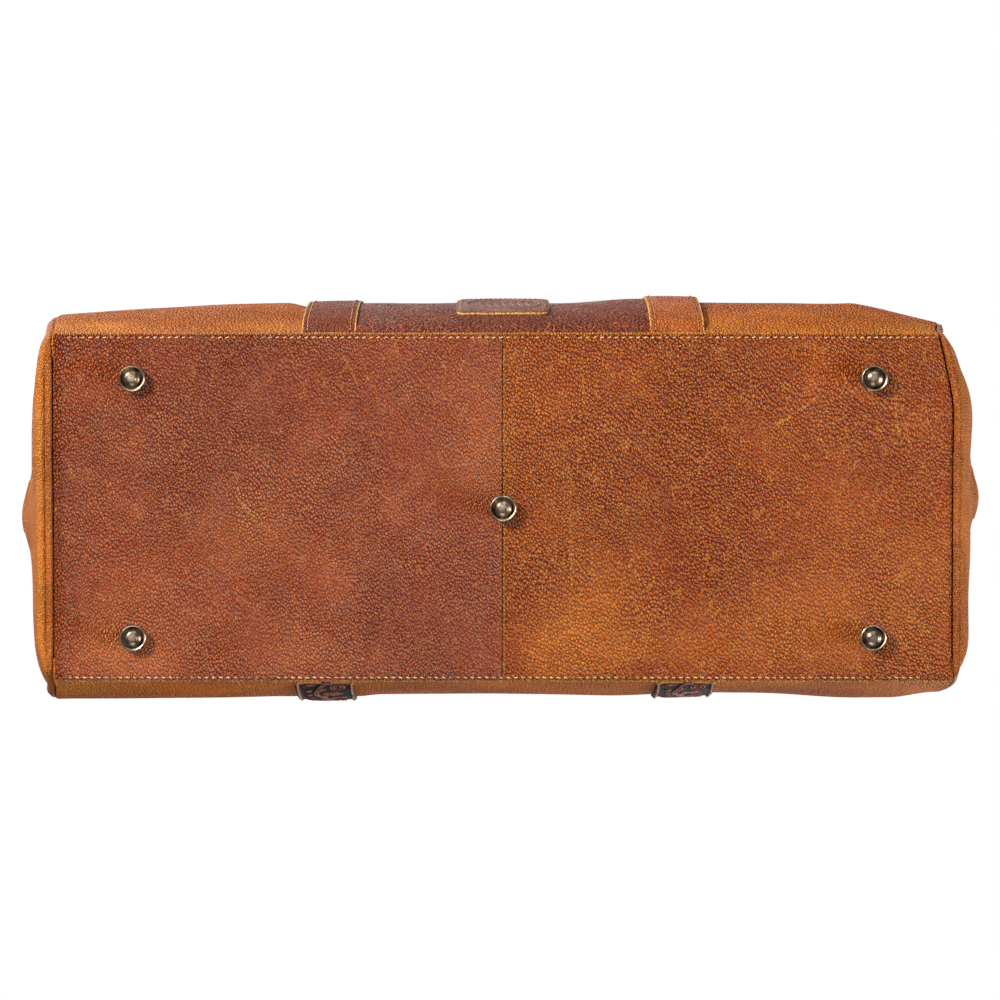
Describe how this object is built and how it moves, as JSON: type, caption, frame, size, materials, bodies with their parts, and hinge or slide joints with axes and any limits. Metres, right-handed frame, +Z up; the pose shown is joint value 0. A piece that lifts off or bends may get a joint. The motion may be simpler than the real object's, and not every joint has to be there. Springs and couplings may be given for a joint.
{
  "type": "weekender bag",
  "caption": "Leather weekender bag with a flat studded base, piped ends, a slip pocket, a top zipper that opens, two rolled handles on rings and a D-ring at each end.",
  "frame": {"origin": "on the floor, under the middle of the bag's outer box", "axes": "+X to the bag's right along its length, -Y the front with the pocket, +Z up"},
  "size_m": [0.5614, 0.235, 0.4118],
  "materials": {
    "body_leather": "satin pull-up leather",
    "base_leather": "pebbled pull-up leather",
    "pocket_leather": "waxed pull-up leather",
    "patch_leather": "embossed leather with a raw edge",
    "tooled_leather": "tooled and dyed leather",
    "lining": "woven cotton",
    "zip_tape": "woven tape",
    "rope": "twisted cotton rope",
    "board": "fibre board",
    "old_brass": "antique plating"
  },
  "bodies": {
    "bag": {"bottom_panel_left": "base_leather", "bottom_panel_right": "base_leather", "base_board": "board", "foot_front_left": "old_brass", "foot_front_right": "old_brass", "foot_back_left": "old_brass", "foot_back_right": "old_brass", "foot_centre": "old_brass", "foot_washers": "old_brass", "front_panel": "body_leather", "back_panel": "body_leather", "front_pocket": "pocket_leather", "pocket_patch": "patch_leather", "end_panel_left": "body_leather", "end_panel_right": "body_leather", "piping_left": "body_leather", "piping_right": "body_leather", "strap_front_left": "body_leather", "strap_front_right": "body_leather", "strap_back_left": "tooled_leather", "strap_back_right": "tooled_leather", "strap_rivets": "old_brass", "end_strap_left": "body_leather", "end_strap_right": "body_leather", "d_ring_loop_left": "body_leather", "d_ring_loop_right": "body_leather", "top_end_left": "body_leather", "top_end_right": "body_leather", "zip_end_left": "zip_tape", "zip_end_right": "zip_tape", "lining_body": "lining", "lining_end_left": "lining", "lining_end_right": "lining", "inner_pocket": "lining"},
    "top_front": {"top_panel_front": "body_leather", "zip_tape_front": "zip_tape", "zip_teeth_front": "old_brass"},
    "top_back": {"top_panel_back": "body_leather", "zip_tape_back": "zip_tape", "zip_teeth_back": "old_brass"},
    "zipper_slider": {"zip_slider": "old_brass"},
    "zipper_pull": {"zip_pull": "old_brass", "zip_pull_tab": "body_leather"},
    "front_rings": {"ring_front_left": "old_brass", "ring_front_right": "old_brass"},
    "front_handle": {"handle_front": "body_leather", "handle_core_front": "rope", "handle_tab_front_left": "body_leather", "handle_tab_front_right": "body_leather"},
    "back_rings": {"ring_back_left": "old_brass", "ring_back_right": "old_brass"},
    "back_handle": {"handle_back": "body_leather", "handle_core_back": "rope", "handle_tab_back_left": "tooled_leather", "handle_tab_back_right": "tooled_leather"},
    "left_d_ring": {"d_ring_left": "old_brass"},
    "right_d_ring": {"d_ring_right": "old_brass"}
  },
  "joints": [
    {"name": "top_front_open", "type": "hinge", "parent": "bag", "child": "top_front", "pos_m": [0, -0.086, 0.248], "axis": [1, 0, 0], "range_deg": [0, 55]},
    {"name": "top_back_open", "type": "hinge", "parent": "bag", "child": "top_back", "pos_m": [0, 0.086, 0.248], "axis": [-1, 0, 0], "range_deg": [0, 55]},
    {"name": "zip_slide", "type": "slide", "parent": "bag", "child": "zipper_slider", "axis": [1, 0, 0], "range_m": [-0.426, 0]},
    {"name": "zip_pull_swing", "type": "hinge", "parent": "zipper_slider", "child": "zipper_pull", "pos_m": [0.2123, 0, 0.291], "axis": [0, -1, 0], "range_deg": [0, 180]},
    {"name": "front_rings_swing", "type": "hinge", "parent": "bag", "child": "front_rings", "pos_m": [0, -0.10245, 0.22428], "axis": [1, 0, 0], "range_deg": [-18, 105]},
    {"name": "front_handle_swing", "type": "hinge", "parent": "front_rings", "child": "front_handle", "pos_m": [0, -0.10245, 0.24428], "axis": [1, 0, 0], "range_deg": [-12, 70]},
    {"name": "back_rings_swing", "type": "hinge", "parent": "bag", "child": "back_rings", "pos_m": [0, 0.10245, 0.22428], "axis": [-1, 0, 0], "range_deg": [-18, 105]},
    {"name": "back_handle_swing", "type": "hinge", "parent": "back_rings", "child": "back_handle", "pos_m": [0, 0.10245, 0.24428], "axis": [-1, 0, 0], "range_deg": [-12, 70]},
    {"name": "left_d_ring_swing", "type": "hinge", "parent": "bag", "child": "left_d_ring", "pos_m": [-0.27388, 0, 0.226], "axis": [0, 1, 0], "range_deg": [0, 110]},
    {"name": "right_d_ring_swing", "type": "hinge", "parent": "bag", "child": "right_d_ring", "pos_m": [0.27388, 0, 0.226], "axis": [0, -1, 0], "range_deg": [0, 110]}
  ]
}
